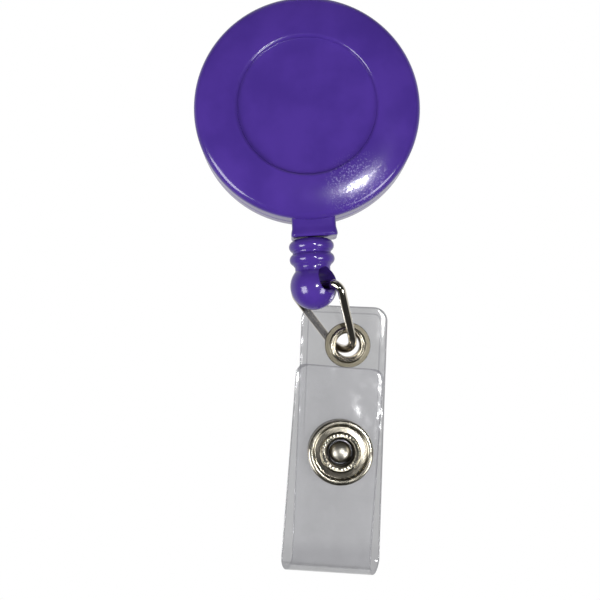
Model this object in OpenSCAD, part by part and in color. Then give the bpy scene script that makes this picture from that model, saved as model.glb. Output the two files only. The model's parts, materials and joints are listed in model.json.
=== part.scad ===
// Retractable badge reel: a round two-piece case with a spring-loaded spool, a belt clip, a cord
// with a strain relief, a wire link and a clear strap that folds up and closes with a ring snap.
//
// Frame: +Z up as the reel hangs, the face towards -Y, +X to the right seen from the front.
// The origin is the centre of the label recess's face, on the spool's axis.

/* [Case] */
// Diameter of the case
case_d = 32; // [31.5:0.5:34]
// Depth from the label recess's face to the back plane
case_depth = 7; // [7:0.1:8]
// Diameter of the flat label recess
label_d = 19.6; // [18:0.2:21]
// Height of the front ring's crown above the label recess
crown_h = 0.6; // [0.4:0.05:0.8]
// Wall thickness of both covers
wall = 1; // [0.8:0.05:1]
// Width of the neck that the cord leaves by
neck_w = 6.2; // [6:0.1:7]
// Distance from the spool's axis to the neck's end
neck_reach = 18.3; // [18:0.1:18.4]

/* [Belt clip] */
// Width of the spring-steel strip
clip_w = 11; // [9:0.5:12]
// Thickness of the spring-steel strip
clip_t = 0.5; // [0.4:0.05:0.6]
// Gap for the belt or waistband
belt_gap = 2.3; // [2:0.1:4]
// Height of the clip's bend above the spool's axis
clip_top = 13.2; // [12:0.1:14]

/* [Cord] */
// Cord diameter
cord_d = 0.8; // [0.7:0.05:0.9]
// Resting place of the cord in its mouth, sideways from the neck's centre
cord_x = -0.5; // [-0.6:0.1:0.6]

/* [Strain relief] */
// Diameter of the two ribs
rib_d = 6.4; // [6:0.1:6.6]
// Diameter of the ball
ball_d = 6.66; // [6.4:0.02:6.8]
// Diameter of the cross hole in the ball
ball_hole_d = 3.3; // [3.2:0.1:3.4]
// Distance from the spool's axis down to the ball's centre
ball_drop = 25.2; // [25:0.1:25.5]
// Height of the cross hole above the ball's centre
hole_up = 0.9; // [0.8:0.05:1]

/* [Wire link] */
// Wire diameter
wire_d = 1.2; // [1.1:0.05:1.2]
// Length of the link's straight side, between its corner points
link_base = 9.6; // [9.5:0.1:10]
// Height of the link, from the straight side to the tip
link_h = 10.6; // [10.4:0.1:10.7]
// Swing of the link back from hanging straight down
link_swing = 32.4; // [32:0.2:33]

/* [Strap] */
// Width of the vinyl strip
strap_w = 12.4; // [12:0.1:12.7]
// Thickness of the vinyl strip
strap_t = 0.6; // [0.5:0.05:0.6]
// Length from the eyelet down to the fold
strap_drop = 32; // [31.5:0.5:34]
// Distance from the eyelet down to the snap
snap_drop = 15.2; // [15:0.1:15.5]
// Sideways lean of the hanging strap
strap_lean = 5.7; // [4:0.1:7]
// Forward lean of the strap's top at the eyelet
top_lean = 3; // [2:0.5:4]

/* [Hidden] */
$fn = 64;

play = 0.02;             // clearance between fixed pieces
run = 0.05;              // radial running clearance
reach = 20;              // length of a cutting solid that passes right through
purple = "#4b3391";
nickel = "#b9b2a4";
vinyl = [0.78, 0.79, 0.82, 0.55];

// case outline
case_r = case_d / 2;
label_r = label_d / 2;
rim_r = 0.5;             // rounding at the recess's rim
shoulder_r = 1.2;        // rounding between the ring and the side wall
shoulder_from = 16;      // slope in degrees where the crown meets the shoulder
seam_y = 3.8;            // plane where the two covers meet
seam_v = 0.12;           // chamfer along the seam
lap = 1.1;               // depth of the back cover's spigot inside the front cover
lap_t = 0.9;             // thickness of that spigot
back_r = 0.8;            // rounding at the back rim
crown_step = 2;          // spacing in degrees of the crown's points
shoulder_step = 9;       // spacing in degrees of the shoulder's points
floor_y = case_depth - wall;
crown_r0 = label_r + rim_r;
crown_r1 = case_r - shoulder_r * (1 - sin(shoulder_from));
crown_arc = (crown_r1 - crown_r0) / sin(shoulder_from);
shoulder_y = -crown_h + crown_arc * (1 - cos(shoulder_from)) + shoulder_r * cos(shoulder_from);

// cord neck
neck_y0 = 1.2;           // front and back of the neck
neck_y1 = 6.2;
neck_top = case_r - 2.2; // where the neck has run into the case
neck_corner = 0.6;
lip_h = 1.1;             // the thicker lip at the neck's end
lip_out = 0.22;
lip_corner = 0.7;
mouth_top = -13;         // height up to which the cord's mouth is cut
mouth_corner = 0.6;
mouth_w = 2.6;
mouth_y = 3.6;           // depth of the cord's centre line
mouth_t = 1.7;

// spool, axle and spring
axle_r = 2.2;
axle_v = 0.2;            // chamfer at the axle's front end
axle_y0 = 1.3;
collar_r = 3.2;          // collar that bears on the back cover's floor
collar_y = 5.5;
shank_r = 1.5;           // shank through the back cover and the clip
slot_t = 0.5;            // slot for the spring's inner tab
tail_r = 2.7;            // domed tail, riveted over behind the clip
tail_h = 0.6;
tail_edge = 0.15;
spool_y0 = 1.2;          // front and back of the spool
spool_y1 = 5.75;
web_t = 0.8;
hub_t = 0.85;            // wall of the hub around the axle
spool_r = 12.8;
drum_r = 10.4;
drum_t = 1;
flange_t = 0.8;
pin_hole_r = 0.5;        // hole for the cord's inner end
spring_t = 0.16;
spring_y0 = 2.3;
spring_w = 3;
spring_turns = 7;
spring_clear = 0.1;      // the hub stops this far in front of the spring
spring_margin = 0.35;    // from the hub and the drum to the spring's end turns
spring_pack = 0.7;       // exponent below 1 packs the turns towards the drum
tab_in = 0.3;            // distance of the inner tab's end from the axle's surface
tab_out = 0.1;           // distance of the outer tab's end from the drum's surface
slit_t = 0.7;
slit_over = 0.2;         // the slit passes this far beyond the drum's wall
groove_y0 = spool_y0 + web_t;
groove_y1 = spool_y1 - flange_t;
wound_r = 12.5;          // radius at which the cord leaves the wound turns
wound_gap = 0.05;        // between the wound turns and the groove's walls
lead_from = 30;          // angle at which it leaves, from straight down
lead_bend = 0.8;         // the lead turns down this far below the neck's top
lead_over = 0.1;         // overlap of the lead's two straight stretches
cord_joint = -neck_reach + 1.2;  // height at which the lead meets the cord's moving end

// belt clip
clip_y0 = case_depth + play;
bend_r = belt_gap / 2 + clip_t;
bend_y = clip_y0 + bend_r;
bend_z = clip_top - bend_r;
clip_foot = -9;          // height of the inner leg's end
tongue_tip = -13;        // height of the outer leg's tip
clip_corner = 2;
pinch = 0.5;             // how far the outer leg closes in
pinch_z = -9.5;
flare = 1.2;             // how far its tip turns out again
rail_w = 0.8;            // the two rails that stop the strip from turning
rail_h = 14;
rail_z = 1;

// strain relief
ribs_top = -neck_reach - 0.2;
ribs_top_r = 2.6;
rib_h = 1.75;
rib_gap = 0.1;           // between the top face and each rib
rib_round = 62;          // the rib's edge is round to this many degrees above and below
groove_r = 2.72;         // groove between the ribs
throat_r = 2.5;          // throat between the lower rib and the ball
throat_h = 0.35;
cord_hole_r = cord_d / 2 + run;
knot_r = 0.9;
knot_up = 1.15;          // height of the knot's centre above the cross hole's wall
hole_z = -ball_drop + hole_up;
knot_z = hole_z + ball_hole_d / 2 + knot_up;

// wire link: the straight side lies in the ball's hole, the tip passes through the eyelet
hole_turn = 45;          // the cross hole's axis is turned this far from X towards the front
bar_mid = [cord_x + 0.15, mouth_y + 0.25, hole_z - 0.85];  // the straight side's middle
base_bend = 1.2;         // bend radii of the wire's centre line
run_thin = 0.04;         // the straight runs are this much thinner than the bends
run_over = 0.05;         // and reach this far into them
tip_bend = 2.3;

// strap and its fittings, in the strap's own frame: origin at the eyelet's centre, y to the back
eyelet_at = [3.95, mouth_y + 3.4, -33.6];
strap_off = -0.6;        // strap centre line, sideways from the eyelet
strap_up = 5.6;          // strap above the eyelet's centre
straight_s = 4;          // straight stretch below the eyelet
bend_s = 6;              // stretch over which the lean dies out
curve_r = bend_s / (top_lean * PI / 180);
hang_y = straight_s * sin(top_lean) + curve_r * (1 - cos(top_lean));
hang_z = -straight_s * cos(top_lean) - curve_r * sin(top_lean);
layer_gap = 2.5;         // space between the two layers, held open by the snap
fold_r = (layer_gap + strap_t) / 2;
fold_z = -strap_drop + fold_r + strap_t / 2;
flap_y = hang_y - layer_gap - strap_t;
flap_up = -3.2;          // height of the flap's free end below the eyelet
flap_skew = 2.2;         // turn of the flap about the snap, in degrees
flap_off = -0.9;         // the flap sits this far off the hanging layer at the snap
flap_corner = 1.4;
corner_r = 2;

// eyelet
eye_in = 1.65;           // inside and outside of the barrel
eye_out = 1.95;
eye_flange = 3.3;
eye_edge = 0.15;         // width of the flange's thinned edge
washer_t = 0.2;
washer_edge = 0.08;      // thickness at the washer's edge
front_roll = 0.42;       // radii of the rolled lips
front_rise = 0.22;       // height of the front lip's centre above the strap
rear_roll = 0.36;
rear_rise = 0.08;
flange_h = 0.12;         // height of the flange beside the lip, and at its edge
flange_edge_h = 0.05;

// ring snap
snap_r = 4.6;            // outside of the ring and of the cap
ball_r = 1.48;           // stud: ball, neck and the cap's post inside it
post_r = 1.2;
cap_post_r = 0.9;
cap_post_top = 1.7;      // end of the cap's post, a little short of its hole's end
cap_hole_top = 1.8;
ring_hole_r = 2.05;      // ring: hole, barrel and rolled edges
ring_barrel_r = 2.3;
ring_inner_roll = 0.32;
ring_outer_roll = 0.42;
dish_r0 = 2.95;          // flat dish between the ring's two rolled edges
dish_r1 = 3.6;
dish_h = 0.24;
socket_r = 4.3;          // socket behind the flap
socket_y = 0.75;
socket_roll = 0.4;
socket_hole_r = 1.75;
barrel_in = 0.25;        // how far the ring's barrel reaches into the socket
barrel_seat = 0.3;       // depth of the socket's seat for it
spring_groove_r = 2.5;
spring_w0 = 1.25;        // the retaining spring's groove, from and to
spring_w1 = 1.95;
grip_r = 0.2;            // the retaining spring: wire radius, clearance and opening
grip_out = 0.42;
grip_arc = 320;
grip_turn = 20;
stud_r = 3.6;            // the stud's foot on the strap
stud_h = 0.3;
stud_edge = 0.2;
cap_h = 0.65;            // height of the cap's dome above its edge
cap_edge = 0.25;
cap_inset = 0.3;

// --- helpers -----------------------------------------------------------------------------------

// points of an arc about [cx, cy], from angle a0 to a1
function arc(cx, cy, r, a0, a1, n) =
    [for (i = [0:n]) let (a = a0 + (a1 - a0) * i / n) [cx + r * cos(a), cy + r * sin(a)]];

// rounded rectangle of size w by h about the origin
function rounded(w, h, r) = concat(
    arc(w / 2 - r, h / 2 - r, r, 0, 90, 6),
    arc(-w / 2 + r, h / 2 - r, r, 90, 180, 6),
    arc(-w / 2 + r, -h / 2 + r, r, 180, 270, 6),
    arc(w / 2 - r, -h / 2 + r, r, 270, 360, 6)
);

// turns a profile of [radius, y] about the Y axis
module turned(profile) {
    rotate([-90, 0, 0]) rotate_extrude($fn = 96) polygon(profile);
}

// cylinder along +Y from y0 to y1
module rod_y(r, y0, y1) {
    translate([0, y0, 0]) rotate([-90, 0, 0]) cylinder(r = r, h = y1 - y0);
}

// extrudes an outline drawn as [x, z] along Y from y0 to y1
module slab_y(outline, y0, y1) {
    translate([0, y1, 0]) rotate([90, 0, 0]) linear_extrude(y1 - y0) polygon(outline);
}

// extrudes a profile drawn as [y, z] along X, centred, to the width w
module strip_x(profile, w) {
    rotate([90, 0, 90]) translate([0, 0, -w / 2]) linear_extrude(w) polygon(profile);
}

// --- case --------------------------------------------------------------------------------------

// outside of the front, from the recess's rim to the seam, as [radius, y]
function face_line() = concat(
    [[0, 0], [label_r, 0]],
    arc(crown_r0, rim_r - crown_h, rim_r, 180, 270, 5),
    [for (t = [crown_step:crown_step:shoulder_from])
        [crown_r0 + crown_arc * sin(t), -crown_h + crown_arc * (1 - cos(t))]],
    [for (t = [shoulder_from + shoulder_step - 1:shoulder_step:90])
        [case_r - shoulder_r + shoulder_r * sin(t), shoulder_y - shoulder_r * cos(t)]],
    [[case_r, shoulder_y], [case_r, seam_y - seam_v], [case_r - seam_v, seam_y]]
);

module neck_block(y0, y1) {
    depth = neck_y1 - neck_y0;
    intersection() {
        union() {
            translate([0, (neck_y0 + neck_y1) / 2, -neck_reach])
                linear_extrude(neck_reach - neck_top) polygon(rounded(neck_w, depth, neck_corner));
            translate([0, (neck_y0 + neck_y1) / 2, -neck_reach])
                linear_extrude(lip_h)
                    polygon(rounded(neck_w + 2 * lip_out, depth + 2 * lip_out, lip_corner));
        }
        translate([-reach / 2, y0, -2 * reach]) cube([reach, y1 - y0, 3 * reach]);
    }
}

module mouth() {
    start = -neck_reach - 1;
    translate([0, mouth_y, start])
        linear_extrude(mouth_top - start) polygon(rounded(mouth_w, mouth_t, mouth_corner));
}

module front_cover() {
    inner_r = case_r - wall;
    color(purple) difference() {
        union() {
            turned(concat(face_line(), [[inner_r, seam_y], [inner_r, wall], [0, wall]]));
            difference() {
                neck_block(0, seam_y);
                rod_y(inner_r, -1, seam_y + 1);
            }
        }
        mouth();
    }
}

module back_cover() {
    spigot_r = case_r - wall - play;
    color(purple) difference() {
        union() {
            turned(concat(
                [[0, floor_y], [spigot_r - lap_t, floor_y], [spigot_r - lap_t, seam_y - lap],
                 [spigot_r, seam_y - lap], [spigot_r, seam_y + play],
                 [case_r - seam_v, seam_y + play], [case_r, seam_y + play + seam_v]],
                arc(case_r - back_r, case_depth - back_r, back_r, 0, 90, 6),
                [[0, case_depth]]
            ));
            difference() {
                neck_block(seam_y + play, reach);
                rod_y(case_r - wall, -1, floor_y);
            }
            for (side = [-1, 1])
                translate([side * (clip_w / 2 + play + rail_w / 2), case_depth + clip_t / 2, rail_z])
                    cube([rail_w, clip_t, rail_h], center = true);
        }
        rod_y(shank_r + play, 0, reach);
        mouth();
    }
}

// --- belt clip ---------------------------------------------------------------------------------

// keeps what lies inside a rounded outline, seen along Y, between the heights z0 and z1
module rounded_leg(z0, z1) {
    intersection() {
        children();
        translate([0, 0, (z0 + z1) / 2]) slab_y(rounded(clip_w, z1 - z0, clip_corner), seam_y, reach);
    }
}

module belt_clip() {
    color("silver") difference() {
        rounded_leg(clip_foot, clip_top + clip_corner) strip_x(concat(
            [[clip_y0, clip_foot], [clip_y0, bend_z]],
            arc(bend_y, bend_z, bend_r, 180, 90, 8),
            arc(bend_y, bend_z, bend_r - clip_t, 90, 180, 8),
            [[clip_y0 + clip_t, clip_foot]]
        ), clip_w);
        rod_y(shank_r + play, 0, reach);
    }
}

// The outer leg runs down from the bend, closes in towards the case and flares at its tip.
module clip_tongue() {
    y_out = bend_y + bend_r;
    y_in = y_out - clip_t;
    color("silver") translate([0, play, 0])
        rounded_leg(tongue_tip, clip_top + clip_corner) strip_x(concat(
            arc(bend_y, bend_z, bend_r, 90, 0, 8),
            [[y_out - pinch, pinch_z], [y_out - pinch + flare, tongue_tip],
             [y_in - pinch + flare, tongue_tip], [y_in - pinch, pinch_z]],
            arc(bend_y, bend_z, bend_r - clip_t, 0, 90, 8)
        ), clip_w);
}

// --- axle, spool and spring --------------------------------------------------------------------

module axle_rivet() {
    tail_y = clip_y0 + clip_t + play;
    color("silver") difference() {
        turned(concat(
            [[0, axle_y0], [axle_r - axle_v, axle_y0], [axle_r, axle_y0 + axle_v], [axle_r, collar_y],
             [collar_r, collar_y], [collar_r, floor_y - play], [shank_r, floor_y - play],
             [shank_r, tail_y]],
            [for (t = [0:15:90]) [tail_r * cos(t), tail_y + tail_edge + tail_h * sin(t)]]
        ));
        translate([-axle_r - 1, 0, -slot_t / 2])
            cube([2 * axle_r + 2, spring_y0 + spring_w + run, slot_t]);
    }
}

module spool() {
    hub_r = axle_r + run + hub_t;
    hub_y = spring_y0 - spring_clear;
    color("whitesmoke") difference() {
        turned([
            [axle_r + run, spool_y0], [spool_r, spool_y0], [spool_r, groove_y0],
            [drum_r, groove_y0], [drum_r, groove_y1], [spool_r, groove_y1],
            [spool_r, spool_y1], [drum_r - drum_t, spool_y1], [drum_r - drum_t, groove_y0],
            [hub_r, groove_y0], [hub_r, hub_y], [axle_r + run, hub_y]
        ]);
        // slit for the spring's outer hook and hole for the cord's inner end
        translate([drum_r - drum_t - slit_over, spring_y0 - slit_over, -slit_t / 2])
            cube([drum_t + 2 * slit_over, reach, slit_t]);
        translate([0, (groove_y0 + groove_y1) / 2, drum_r - drum_t / 2])
            cylinder(r = pin_hole_r, h = 2 * drum_t, center = true);
    }
}

// radius of the spring's centre line at turn u, packed towards the drum
spring_r0 = axle_r + spring_margin;
spring_r1 = drum_r - drum_t - spring_margin;
function spring_r(u) = spring_r0 + (spring_r1 - spring_r0) * pow(u / spring_turns, spring_pack);

// the spiral, with a straight tab into the axle's slot and one into the drum's slit
module power_spring() {
    steps = 28 * spring_turns;
    inner = [for (i = [0:steps]) let (u = i * spring_turns / steps)
        (spring_r(u) - spring_t / 2) * [cos(360 * u), sin(360 * u)]];
    outer = [for (i = [steps:-1:0]) let (u = i * spring_turns / steps)
        (spring_r(u) + spring_t / 2) * [cos(360 * u), sin(360 * u)]];
    color("slategray") {
        slab_y(concat(inner, outer), spring_y0, spring_y0 + spring_w);
        translate([-axle_r + tab_in, spring_y0, -spring_t / 2])
            cube([axle_r - tab_in + spring_r0, spring_w, spring_t]);
        translate([spring_r1, spring_y0, -spring_t / 2])
            cube([drum_r - tab_out - spring_r1, spring_w, spring_t]);
    }
}

// --- cord --------------------------------------------------------------------------------------

// the wound turns, one ring per row and column of the groove
module cord_wound() {
    rows = floor((wound_r - drum_r) / cord_d);
    space = groove_y1 - groove_y0 - 2 * wound_gap;
    columns = floor(space / cord_d);
    pitch = space / columns;
    color("#202024")
        for (row = [0:rows - 1], column = [0:columns - 1])
            translate([0, groove_y0 + wound_gap + pitch * (column + 0.5), 0]) rotate([90, 0, 0])
                rotate_extrude($fn = 96)
                    translate([drum_r + play + (cord_d + play) * (row + 0.5), 0])
                        circle(d = cord_d, $fn = 20);
}

// from the wound turns to the mouth, then down inside the neck
module cord_lead() {
    far = [wound_r * sin(lead_from), mouth_y, -wound_r * cos(lead_from)];
    near = [cord_x, mouth_y, -neck_top - lead_bend];
    along = near - far;
    color("#202024") {
        translate(far) rotate([0, atan2(along[0], along[2]), 0])
            cylinder(d = cord_d, h = norm(along), $fn = 24);
        translate([cord_x, mouth_y, cord_joint])
            cylinder(d = cord_d, h = near[2] + lead_over - cord_joint, $fn = 24);
    }
}

// from the mouth down into the strain relief
module cord_end() {
    bottom = knot_z + knot_r + play;
    color("#202024") translate([cord_x, mouth_y, bottom])
        cylinder(d = cord_d, h = cord_joint - play - bottom, $fn = 24);
}

module cord_knot() {
    color("#202024") translate([cord_x, mouth_y, knot_z]) sphere(r = knot_r, $fn = 24);
}

// --- strain relief and wire link ---------------------------------------------------------------

// half outline of a rounded rib whose middle is at height z
function rib(z) = arc(rib_d / 2 - rib_h / 2, z, rib_h / 2, rib_round, -rib_round, 8);

module strain_relief() {
    rib_1 = ribs_top - rib_h / 2 - rib_gap;
    rib_2 = rib_1 - rib_h - rib_gap;
    ball_r0 = ball_d / 2;
    throat_a = acos(throat_r / ball_r0);
    color(purple) translate([cord_x, mouth_y, 0]) difference() {
        rotate_extrude($fn = 64) polygon(concat(
            [[0, ribs_top], [ribs_top_r, ribs_top]],
            rib(rib_1), [[groove_r, rib_1 - rib_h / 2 - rib_gap / 2]],
            rib(rib_2), [[throat_r, rib_2 - rib_h / 2 - throat_h]],
            arc(0, -ball_drop, ball_r0, throat_a, -90, 18)
        ));
        // cord hole, knot seat and cross hole
        translate([0, 0, hole_z]) cylinder(r = cord_hole_r, h = reach);
        translate([0, 0, hole_z]) cylinder(r = knot_r + run, h = knot_z + knot_r - hole_z);
        translate([0, 0, hole_z]) rotate([0, 0, -hole_turn]) rotate([0, 90, 0])
            cylinder(d = ball_hole_d, h = reach, center = true);
    }
}

// The link's sides meet at three corner points. The tip's point lies beyond the rounded tip.
tip_k = tip_bend / (link_base / 2);
tip_g = link_h - tip_bend;
tip_point = (tip_g + sqrt(tip_g ^ 2 - (1 - tip_k ^ 2) * (tip_g ^ 2 - tip_bend ^ 2))) / (1 - tip_k ^ 2);
link_corners = [[-link_base / 2, 0], [link_base / 2, 0], [0, -tip_point]];
link_bends = [base_bend, base_bend, tip_bend];

function unit(v) = v / norm(v);
function heading(v) = atan2(v[1], v[0]);
function half_angle(i) = let (
    a = unit(link_corners[(i + 2) % 3] - link_corners[i]),
    b = unit(link_corners[(i + 1) % 3] - link_corners[i])
) acos(a * b) / 2;

// the link in its own plane: x along the bar, y up, the bar's middle at the origin
module link_flat() {
    for (i = [0:2]) {
        here = link_corners[i];
        next = link_corners[(i + 1) % 3];
        back = link_corners[(i + 2) % 3];
        onward = unit(next - here);
        half = half_angle(i);
        centre = here + unit(unit(back - here) + onward) * link_bends[i] / sin(half);
        start = here + onward * link_bends[i] / tan(half);
        stop = next - onward * link_bends[(i + 1) % 3] / tan(half_angle((i + 1) % 3));
        translate([centre[0], centre[1], 0]) rotate([0, 0, heading(here - centre) - (90 - half)])
            rotate_extrude(angle = 180 - 2 * half, $fn = 96)
                translate([link_bends[i], 0]) circle(d = wire_d, $fn = 32);
        translate([start[0], start[1], 0]) rotate([0, 90, heading(onward)])
            translate([0, 0, -run_over])
                cylinder(d = wire_d - run_thin, h = norm(stop - start) + 2 * run_over, $fn = 32);
    }
}

module wire_link() {
    color(nickel) translate(bar_mid) rotate([0, 0, -hole_turn]) rotate([90 + link_swing, 0, 0])
        link_flat();
}

// --- strap -------------------------------------------------------------------------------------

// the strap's own frame: origin at the eyelet's centre, y to the back, z up along the strap
module strap_frame() {
    translate(eyelet_at) rotate([0, strap_lean, 0]) children();
}

// the eyelet's axis leans with the strap's top
module eyelet_frame() {
    strap_frame() rotate([top_lean, 0, 0]) children();
}

// on the snap's axis, with y = 0 at the hanging layer's front face
module snap_frame() {
    strap_frame() translate([strap_off, hang_y - strap_t / 2, -snap_drop]) children();
}

// the hanging layer seen from the side, as [y, z], its surface at the offset d from the middle
function hang_line(d) = let (top = strap_up + 1) concat(
    [[-top * sin(top_lean) + d * cos(top_lean), top * cos(top_lean) + d * sin(top_lean)]],
    [for (i = [0:4]) let (a = top_lean * (1 - i / 4)) [
        hang_y - curve_r * (1 - cos(a)) + d * cos(a),
        hang_z + curve_r * sin(a) + d * sin(a)
    ]],
    arc(hang_y - fold_r, fold_z, fold_r + d, 0, -90, 8)
);

function reversed(list) = [for (i = [len(list) - 1:-1:0]) list[i]];

// a strip's outline seen from the front, from z0 up to z1, its top corners rounded
function strip_outline(z0, z1, r) = concat(
    [[-strap_w / 2, z0], [strap_w / 2, z0]],
    arc(strap_w / 2 - r, z1 - r, r, 0, 90, 6),
    arc(-strap_w / 2 + r, z1 - r, r, 90, 180, 6)
);

module strap_back() {
    color(vinyl) difference() {
        strap_frame() translate([strap_off, 0, 0]) intersection() {
            strip_x(concat(hang_line(strap_t / 2), reversed(hang_line(-strap_t / 2))), strap_w);
            slab_y(strip_outline(-strap_drop - 1, strap_up * cos(top_lean), corner_r),
                   -reach / 2, reach / 2);
        }
        eyelet_frame() rod_y(eye_out + play, -3, 3);
        snap_frame() rod_y(cap_post_r + play, -1, 2);
    }
}

// The snapped end: half of the fold and the layer in front, slightly askew about the snap.
module strap_flap() {
    fold_y = flap_y + fold_r - play;
    color(vinyl) difference() {
        strap_frame() translate([strap_off + flap_off, 0, -snap_drop]) rotate([0, flap_skew, 0])
            translate([0, 0, snap_drop]) intersection() {
                strip_x(concat(
                    [[flap_y - strap_t / 2, flap_up]],
                    arc(fold_y, fold_z, fold_r + strap_t / 2, 180, 270, 8),
                    arc(fold_y, fold_z, fold_r - strap_t / 2, 270, 180, 8),
                    [[flap_y + strap_t / 2, flap_up]]
                ), strap_w);
                slab_y(strip_outline(-strap_drop - 1, flap_up, flap_corner), -reach / 2, reach / 2);
            }
        snap_frame() rod_y(ring_barrel_r + play, -layer_gap - strap_t - 1, -layer_gap + 1);
    }
}

// --- eyelet ------------------------------------------------------------------------------------

// turns a profile of [radius, distance towards the front]
module turned_front(profile) {
    rotate([90, 0, 0]) rotate_extrude($fn = 72) polygon(profile);
}

module eyelet() {
    face = strap_t / 2 + play;
    rear = -face - washer_t - play;
    color(nickel) eyelet_frame() turned_front(concat(
        arc(eye_in + front_roll, face + front_rise, front_roll, 180, 0, 8),
        [[eye_flange - eye_edge, face + flange_h], [eye_flange, face + flange_edge_h],
         [eye_flange, face], [eye_out, face], [eye_out, rear], [eye_in + 2 * rear_roll, rear]],
        arc(eye_in + rear_roll, rear - rear_rise, rear_roll, 0, -180, 8)
    ));
}

module eyelet_washer() {
    face = -strap_t / 2 - play;
    color(nickel) eyelet_frame() turned_front([
        [eye_out + play, face], [eye_flange, face], [eye_flange, face - washer_edge],
        [eye_flange - eye_edge, face - washer_t], [eye_out + play, face - washer_t]
    ]);
}

// --- ring snap ---------------------------------------------------------------------------------

// open ring on the flap's front, with a barrel through the flap into the socket
module snap_ring() {
    face = layer_gap + strap_t + play;
    color(nickel) snap_frame() turned_front(concat(
        [[ring_hole_r, layer_gap - barrel_in]],
        arc(ring_hole_r + ring_inner_roll, face + 0.38, ring_inner_roll, 180, 30, 6),
        [[dish_r0, face + dish_h], [dish_r1, face + dish_h]],
        arc(snap_r - ring_outer_roll, face + 0.4, ring_outer_roll, 160, -72, 8),
        [[ring_barrel_r, face], [ring_barrel_r, layer_gap - barrel_in]]
    ));
}

module snap_socket() {
    top = layer_gap - play;
    seat = top - barrel_seat;
    color(nickel) snap_frame() turned_front(concat(
        [[socket_hole_r, socket_y]],
        arc(socket_r - socket_roll, socket_y + socket_roll, socket_roll, -90, 0, 5),
        [[socket_r, top], [ring_barrel_r + play, top], [ring_barrel_r + play, seat],
         [socket_hole_r, seat], [socket_hole_r, spring_w1], [spring_groove_r, spring_w1],
         [spring_groove_r, spring_w0], [socket_hole_r, spring_w0]]
    ));
}

// split wire ring that grips behind the stud's ball
module snap_spring() {
    color("silver") snap_frame() translate([0, -(spring_w0 + spring_w1) / 2, 0])
        rotate([90, grip_turn, 0]) rotate_extrude(angle = grip_arc, $fn = 72)
            translate([post_r + grip_out, 0]) circle(r = grip_r, $fn = 16);
}

module snap_stud() {
    ball_w = 2.35;       // the ball's centre, in front of the hanging layer
    ball_rise = 0.95;    // half of the ball's height
    color(nickel) snap_frame() turned_front(concat(
        [[cap_post_r + play, play], [stud_r, play], [stud_r, stud_h],
         [stud_r - stud_edge, stud_h + 0.15], [post_r + stud_edge, stud_h + stud_edge],
         [post_r, stud_h + 2 * stud_edge], [post_r, ball_w - 0.5]],
        [for (t = [-25:12.5:87.5]) [ball_r * cos(t), ball_w + ball_rise * sin(t)]],
        [[0, ball_w + ball_rise], [0, cap_hole_top], [cap_post_r + play, cap_hole_top]]
    ));
}

module stud_cap() {
    face = -strap_t - play;
    color(nickel) snap_frame() turned_front(concat(
        [[0, cap_post_top], [cap_post_r, cap_post_top], [cap_post_r, face], [snap_r - cap_inset, face]],
        [for (t = [0:11.25:90]) [snap_r * cos(t), face - cap_edge - cap_h * sin(t)]]
    ));
}

front_cover();
back_cover();
belt_clip();
clip_tongue();
axle_rivet();
spool();
power_spring();
cord_wound();
cord_lead();
cord_end();
cord_knot();
strain_relief();
wire_link();
strap_back();
strap_flap();
eyelet();
eyelet_washer();
snap_ring();
snap_socket();
snap_spring();
snap_stud();
stud_cap();
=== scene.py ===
"""Looks for a retractable badge reel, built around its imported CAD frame.

Lengths below are in millimetres and are turned into metres where a mesh is made. The frame is the
CAD's: +Z up, the face towards -Y, the origin at the centre of the label recess.
"""

import json
import math

import bmesh
import bpy
import numpy as np
from mathutils import Matrix, Vector


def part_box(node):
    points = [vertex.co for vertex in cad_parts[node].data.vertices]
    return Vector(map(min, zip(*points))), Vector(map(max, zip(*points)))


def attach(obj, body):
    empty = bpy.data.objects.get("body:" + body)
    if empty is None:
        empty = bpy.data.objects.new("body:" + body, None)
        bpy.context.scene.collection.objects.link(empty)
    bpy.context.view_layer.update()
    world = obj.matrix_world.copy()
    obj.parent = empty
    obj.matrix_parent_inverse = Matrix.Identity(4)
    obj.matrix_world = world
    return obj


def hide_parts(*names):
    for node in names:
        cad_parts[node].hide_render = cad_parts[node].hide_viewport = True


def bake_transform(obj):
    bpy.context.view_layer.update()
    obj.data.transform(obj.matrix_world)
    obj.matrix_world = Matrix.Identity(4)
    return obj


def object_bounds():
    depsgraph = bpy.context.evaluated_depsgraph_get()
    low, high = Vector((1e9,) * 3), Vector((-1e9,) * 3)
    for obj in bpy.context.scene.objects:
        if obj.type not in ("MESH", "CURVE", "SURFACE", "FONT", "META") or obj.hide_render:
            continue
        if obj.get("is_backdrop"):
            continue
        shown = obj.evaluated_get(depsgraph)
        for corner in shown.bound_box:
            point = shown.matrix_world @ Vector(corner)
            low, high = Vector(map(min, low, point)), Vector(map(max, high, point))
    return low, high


MM = 0.001
WELD = 1e-7                     # metres within which two points are one
TAU = 2 * math.pi

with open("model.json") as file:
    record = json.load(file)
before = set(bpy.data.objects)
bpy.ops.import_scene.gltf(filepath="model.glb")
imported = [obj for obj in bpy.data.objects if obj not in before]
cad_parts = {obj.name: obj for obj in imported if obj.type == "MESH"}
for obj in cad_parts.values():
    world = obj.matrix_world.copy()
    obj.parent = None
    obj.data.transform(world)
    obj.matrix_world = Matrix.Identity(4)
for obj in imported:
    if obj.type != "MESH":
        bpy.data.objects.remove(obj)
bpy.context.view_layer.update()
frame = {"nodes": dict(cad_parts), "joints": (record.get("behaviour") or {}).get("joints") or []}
joints = {joint["name"]: joint for joint in frame["joints"]}


def corners(node):
    """Lowest and highest corner of a CAD node, in millimetres."""
    low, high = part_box(node)
    return low / MM, high / MM


def pivot(joint):
    """A point on a hinge's axis, in millimetres."""
    return Vector(joints[joint]["pos_m"]) / MM


def axis_of(joint):
    return Vector(joints[joint]["axis"]).normalized()


# --- sizes ---------------------------------------------------------------------------------------

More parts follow.
